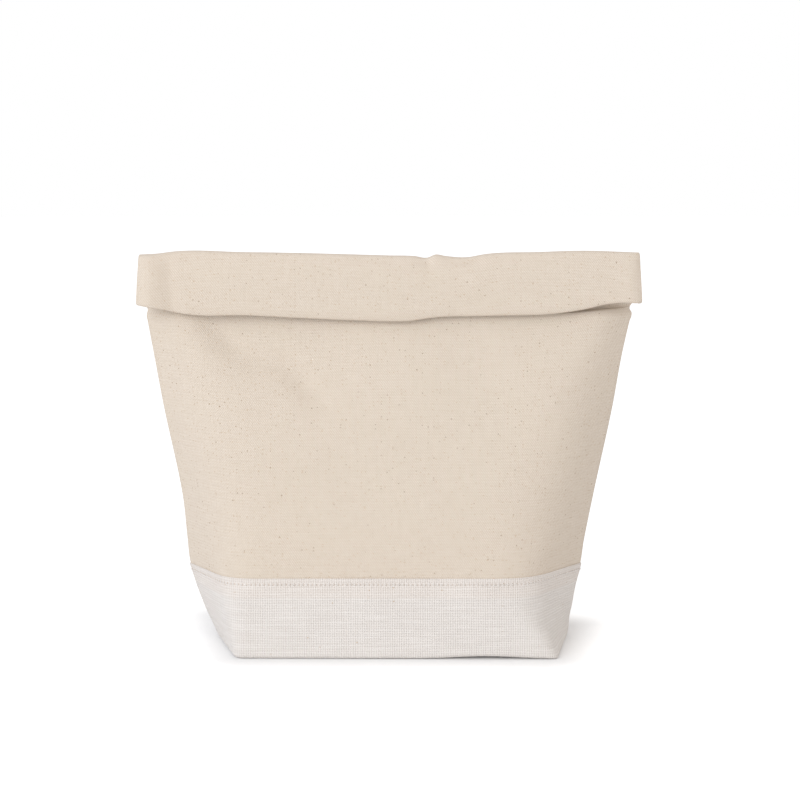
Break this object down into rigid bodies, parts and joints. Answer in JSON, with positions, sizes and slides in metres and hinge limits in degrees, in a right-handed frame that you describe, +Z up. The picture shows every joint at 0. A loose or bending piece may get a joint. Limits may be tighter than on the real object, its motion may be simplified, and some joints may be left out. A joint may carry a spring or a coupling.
{
  "type": "bento bag",
  "caption": "Free-standing cloth lunch bag with a boxed base, a lapped base cloth, and a flat mouth that turns down to the front, lifts and parts.",
  "frame": {"origin": "on the floor under the middle of the base", "axes": "+Z up, the front with the turned-down flap faces -Y, +X to the right seen from the front"},
  "size_m": [0.2894, 0.106, 0.2284],
  "materials": {
    "canvas": "natural unbleached cotton twill with seed flecks",
    "base_cloth": "white coarse open plain weave",
    "lining": "pale plain cotton",
    "thread": "white sewing thread",
    "tape": "pale hook-and-loop tape"
  },
  "bodies": {
    "bag": {"base_cloth": "base_cloth", "front_panel": "canvas", "back_panel": "canvas", "lining_front": "lining", "lining_back": "lining", "topstitching": "thread", "loop_tape": "tape", "fold_canvas": "canvas", "fold_lining": "lining"},
    "flap": {"inner_leaf": "canvas", "inner_leaf_lining": "lining", "hook_tape": "tape"},
    "lip": {"outer_leaf": "canvas", "outer_leaf_lining": "lining"}
  },
  "joints": [
    {"name": "flap_fold", "type": "hinge", "parent": "bag", "child": "flap", "pos_m": [0, -0.00535, 0.21917], "axis": [-1, 0, 0], "range_deg": [0, 165.56], "deforming": ["fold_canvas", "fold_lining"]},
    {"name": "mouth_open", "type": "hinge", "parent": "flap", "child": "lip", "pos_m": [0, -0.0145, 0.22112], "axis": [-1, 0, 0], "range_deg": [0, 35]}
  ]
}
